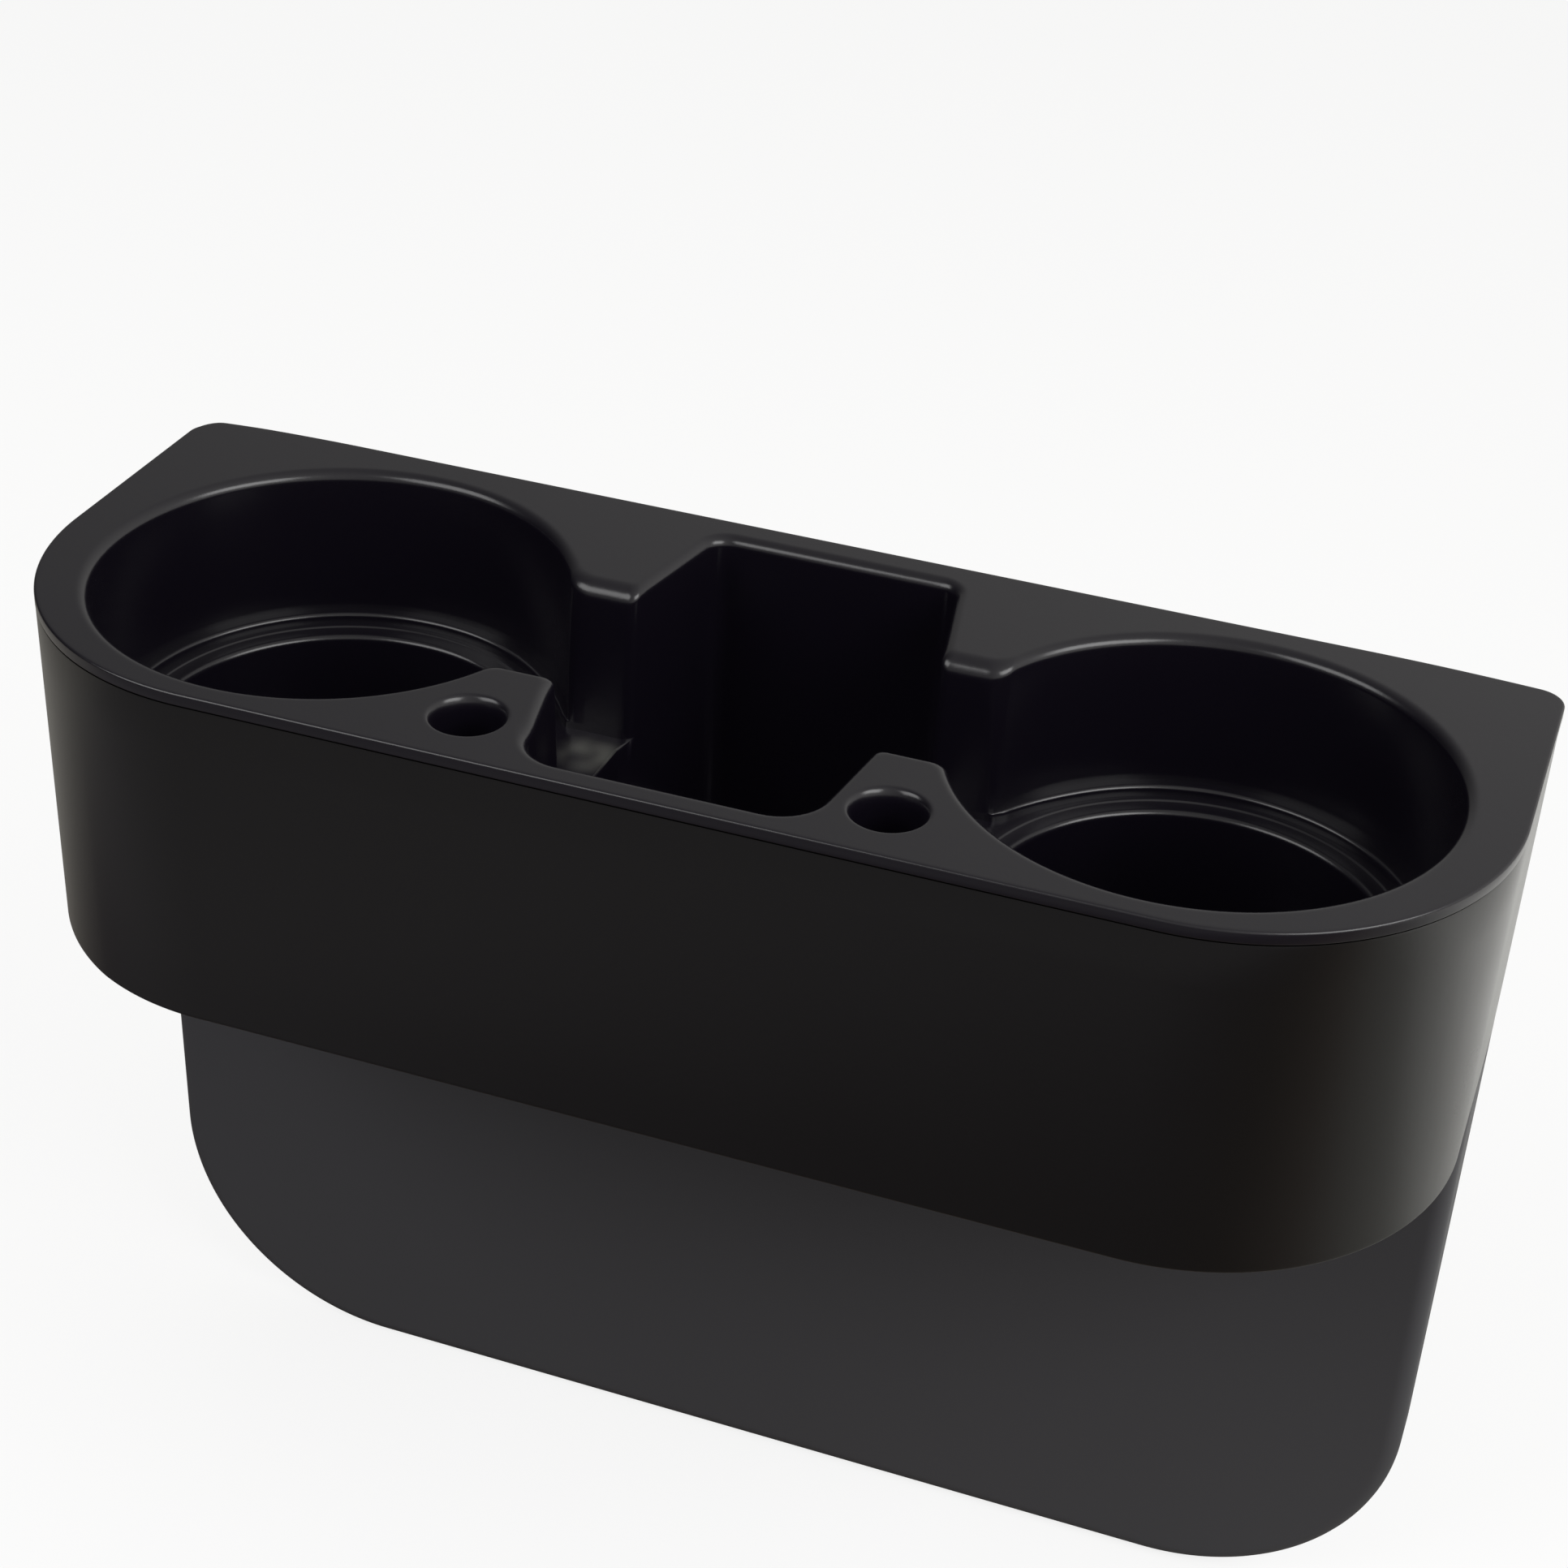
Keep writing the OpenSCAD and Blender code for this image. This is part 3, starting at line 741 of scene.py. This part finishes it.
def add_node(tree, kind, inputs, **settings):
    """Adds a node. inputs gives a value, or an output to link, for each input it names."""
    node = tree.nodes.new(kind)
    for name, value in settings.items():
        setattr(node, name, value)
    for key, value in inputs.items():
        if isinstance(value, bpy.types.NodeSocket):
            tree.links.new(value, node.inputs[key])
        else:
            node.inputs[key].default_value = value
    return node


def spread(tree, value, limits, results=(0.0, 1.0), smooth=False):
    """Maps a value from one pair of limits to another."""
    inputs = {"Value": value, "From Min": limits[0], "From Max": limits[1]}
    inputs.update({"To Min": results[0], "To Max": results[1]})
    kind = "SMOOTHSTEP" if smooth else "LINEAR"
    return add_node(tree, "ShaderNodeMapRange", inputs, interpolation_type=kind).outputs["Result"]


def maths(tree, operation, *values):
    inputs = dict(enumerate(values))
    return add_node(tree, "ShaderNodeMath", inputs, operation=operation).outputs[0]


def colour_mix(tree, factor, a, b):
    inputs = {FACTOR: factor, COLOUR_A: a, COLOUR_B: b}
    return add_node(tree, "ShaderNodeMix", inputs, data_type="RGBA").outputs[COLOUR_OUT]


def place_of(tree):
    """The place on the object, whole and as its x, y and z."""
    place = add_node(tree, "ShaderNodeTexCoord", {}).outputs["Object"]
    return place, add_node(tree, "ShaderNodeSeparateXYZ", {"Vector": place}).outputs


def noise(tree, place, scale, detail):
    inputs = {"Vector": place, "Scale": scale, "Detail": detail}
    return add_node(tree, "ShaderNodeTexNoise", inputs).outputs["Fac"]


def plastic(name, colour, rough):
    """Moulded plastic, a little uneven in its gloss and with a fine grain."""
    mat = bpy.data.materials.new(name)
    mat.use_nodes = True
    tree = mat.node_tree
    shader = tree.nodes["Principled BSDF"]
    shader.inputs["Base Color"].default_value = (*colour, 1)
    shader.inputs["Roughness"].default_value = rough
    place, _ = place_of(tree)
    cloud = noise(tree, place, CLOUD_SCALE, CLOUD_DETAIL)
    gloss = spread(tree, cloud, (0.0, 1.0), (rough - CLOUD_SPREAD, rough + CLOUD_SPREAD))
    tree.links.new(gloss, shader.inputs["Roughness"])
    grain = noise(tree, place, GRAIN_SCALE, GRAIN_DETAIL)
    inputs = {"Strength": GRAIN_STRENGTH, "Distance": GRAIN_DEPTH, "Height": grain}
    bump = add_node(tree, "ShaderNodeBump", inputs)
    tree.links.new(bump.outputs["Normal"], shader.inputs["Normal"])
    return mat


def add_painted_light_patch(mat, colour):
    """A pale patch of painted light on the left channel's floor, patchy and soft at its rim."""
    tree = mat.node_tree
    centre = to_frame(LIT_PATCH_AT)
    place, parts = place_of(tree)
    away = add_node(tree, "ShaderNodeVectorMath", {0: place, 1: centre}, operation="DISTANCE")
    near = spread(tree, away.outputs["Value"], (LIT_PATCH_CORE, LIT_PATCH_REACH), (1.0, 0.0), smooth=True)
    level = maths(tree, "COMPARE", parts["Z"], centre[2], LIT_PATCH_THICK)
    patches = spread(tree, noise(tree, place, LIT_PATCH_SCALE, LIT_PATCH_DETAIL), LIT_PATCH_BLOTCHES)
    share = maths(tree, "MULTIPLY", maths(tree, "MULTIPLY", near, level), patches)
    tint = colour_mix(tree, share, (*colour, 1), (*LIT_PATCH_COLOUR, 1))
    tree.links.new(tint, tree.nodes["Principled BSDF"].inputs["Base Color"])


def make_wedge_matt(mat, colour):
    """The wedge, below the body, is paler and matt."""
    tree = mat.node_tree
    shader = tree.nodes["Principled BSDF"]
    _, parts = place_of(tree)
    below = maths(tree, "LESS_THAN", parts["Z"], WEDGE_BELOW)
    tint = colour_mix(tree, below, (*colour, 1), (*WEDGE_COLOUR, 1))
    tree.links.new(tint, shader.inputs["Base Color"])
    gloss = shader.inputs["Roughness"].links[0].from_socket
    inputs = {FACTOR: below, VALUE_A: gloss, VALUE_B: WEDGE_ROUGH}
    matt = add_node(tree, "ShaderNodeMix", inputs)
    tree.links.new(matt.outputs[0], shader.inputs["Roughness"])


tray_plastic = plastic("tray_plastic", TRAY_COLOUR, TRAY_ROUGH)
# painted light: a pale patch on the left channel's floor
add_painted_light_patch(tray_plastic, TRAY_COLOUR)
shell_plastic = plastic("shell_plastic", SHELL_COLOUR, SHELL_ROUGH)
make_wedge_matt(shell_plastic, SHELL_COLOUR)

tray.data.materials.append(tray_plastic)
shell.data.materials.append(shell_plastic)
for piece, node, slot in ((tray, "tray", "tray_plastic"), (shell, "shell", "shell_plastic")):
    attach(piece, "root")
    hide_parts(node)

# Stage, in metres: a floor under the part, a white world and two soft lamps. The camera
# sees the floor as white. The part's walls reflect these shades of it, by x + 2y, from
# the front left to the back right, and one shade of its own at the back left.
FLOOR_HALF, FLOOR_LEVEL = 4, -0.1325
SHADE_BACK, SHADE_LIMITS = 2.0, (-0.8, 1.0)
SHADES = (
    (-0.8, (0.205, 0.198, 0.205)),
    (-0.7, (0.26, 0.25, 0.26)),
    (-0.62, (0.22, 0.21, 0.22)),
    (-0.5, (0.12, 0.11, 0.12)),
    (-0.2, (0.11, 0.095, 0.085)),
    (0.0, (0.20, 0.17, 0.15)),
    (0.15, (0.31, 0.30, 0.28)),
    (0.32, (0.39, 0.39, 0.37)),
    (0.40, (0.60, 0.60, 0.58)),
    (0.48, (0.68, 0.68, 0.66)),
    (0.62, (1.0, 1.0, 0.98)),
)
LEFT_SHADE, LEFT_LIMITS = (0.38, 0.365, 0.34), (0.2, 0.5)
SEEN_SHADE, GLOW_SHARE = (0.9, 0.9, 0.9), 0.8
SKY_COLOUR, SKY_LEFT, SKY_RIGHT = (1, 0.99, 0.96), 0.02, 1.09
LAMP_SIZE = (1.0, 0.6)
LAMPS = (
    ("lamp_left", (-0.68, -0.72, 0.8), 7),
    ("lamp_right", (0.97, -0.4, 0.8), 9.5),
)


def shade_ramp(tree, place):
    """The floor's shade at a place along the ramp of shades."""
    first, last = SHADE_LIMITS
    ramp_node = add_node(tree, "ShaderNodeValToRGB", {0: spread(tree, place, SHADE_LIMITS)})
    stops = ramp_node.color_ramp.elements
    stops.remove(stops[0])
    for k, (at, shade) in enumerate(SHADES):
        position = (at - first) / (last - first)
        stop = stops[0] if k == 0 else stops.new(position)
        stop.position = position
        stop.color = (*shade, 1)
    return ramp_node.outputs["Color"]


def floor_finish():
    mat = bpy.data.materials.new("floor")
    mat.use_nodes = True
    tree = mat.node_tree
    tree.nodes.clear()
    _, parts = place_of(tree)
    shade = shade_ramp(tree, maths(tree, "MULTIPLY_ADD", parts["Y"], SHADE_BACK, parts["X"]))
    left = spread(tree, maths(tree, "SUBTRACT", parts["Y"], parts["X"]), LEFT_LIMITS, smooth=True)
    reflected = colour_mix(tree, left, shade, (*LEFT_SHADE, 1))
    seen = add_node(tree, "ShaderNodeLightPath", {}).outputs["Is Camera Ray"]
    colour = colour_mix(tree, seen, reflected, (*SEEN_SHADE, 1))
    diffuse = add_node(tree, "ShaderNodeBsdfDiffuse", {"Color": colour}).outputs[0]
    glow = add_node(tree, "ShaderNodeEmission", {}).outputs[0]
    share = maths(tree, "MULTIPLY", seen, GLOW_SHARE)
    surface = add_node(tree, "ShaderNodeMixShader", {0: share, 1: diffuse, 2: glow}).outputs[0]
    add_node(tree, "ShaderNodeOutputMaterial", {"Surface": surface})
    return mat


def make_floor():
    mesh = bpy.data.meshes.new("floor")
    corners = ((-1, -1), (1, -1), (1, 1), (-1, 1))
    points = [(x * FLOOR_HALF, y * FLOOR_HALF, FLOOR_LEVEL) for x, y in corners]
    mesh.from_pydata(points, [], [(0, 1, 2, 3)])
    mesh.materials.append(floor_finish())
    floor = bpy.data.objects.new("floor", mesh)
    bpy.context.collection.objects.link(floor)
    return floor


def make_world():
    """White where the camera sees it, and for the part brighter from the right than from the left."""
    world = bpy.data.worlds.new("world")
    bpy.context.scene.world = world
    world.use_nodes = True
    tree = world.node_tree
    sky = tree.nodes["Background"]
    sky.inputs["Color"].default_value = (*SKY_COLOUR, 1)
    direction = add_node(tree, "ShaderNodeTexCoord", {}).outputs["Generated"]
    across = add_node(tree, "ShaderNodeSeparateXYZ", {"Vector": direction}).outputs["X"]
    side = spread(tree, across, (-1.0, 1.0), (SKY_LEFT, SKY_RIGHT))
    seen = add_node(tree, "ShaderNodeLightPath", {}).outputs["Is Camera Ray"]
    tree.links.new(spread(tree, seen, (0.0, 1.0), (side, 1.0)), sky.inputs["Strength"])


def make_lamp(name, place, power):
    """A soft lamp that points at the part."""
    data = bpy.data.lights.new(name, "AREA")
    data.shape = "RECTANGLE"
    data.size, data.size_y = LAMP_SIZE
    data.energy = power
    lamp = bpy.data.objects.new(name, data)
    lamp.location = place
    lamp.rotation_euler = (-Vector(place)).to_track_quat("-Z", "Y").to_euler()
    bpy.context.collection.objects.link(lamp)


floor = make_floor()
make_world()
for name, place, power in LAMPS:
    make_lamp(name, place, power)

# Camera, placed where the photograph was taken from, in degrees and millimetres
LENS, SENSOR, CLIP_START = 68.064, 36, 0.01
AZIMUTH, ELEVATION, ROLL = 18.57, 31.55, 2.66
AIM, DISTANCE = (19.19, -34.86, 0), 484.57


def make_camera():
    data = bpy.data.cameras.new("camera")
    data.lens = LENS
    data.sensor_width = SENSOR
    data.clip_start = CLIP_START
    camera = bpy.data.objects.new("camera", data)
    bpy.context.collection.objects.link(camera)
    azimuth, elevation, roll = (math.radians(v) for v in (AZIMUTH, ELEVATION, ROLL))
    level = math.cos(elevation)
    away = Vector((math.sin(azimuth) * level, -math.cos(azimuth) * level, math.sin(elevation)))
    level_right = Vector((math.cos(azimuth), math.sin(azimuth), 0))
    level_up = away.cross(level_right)
    right = level_right * math.cos(roll) + level_up * math.sin(roll)
    up = level_up * math.cos(roll) - level_right * math.sin(roll)
    turn = Matrix((right, up, away)).transposed().to_4x4()
    place = Vector(to_frame(Vector(AIM) + away * DISTANCE))
    camera.matrix_world = Matrix.Translation(place) @ turn
    bpy.context.scene.camera = camera


def plain(box):
    """A box as plain lists of numbers."""
    return [[float(v) for v in end] for end in box]


make_camera()
bpy.context.scene.view_settings.view_transform = "Standard"
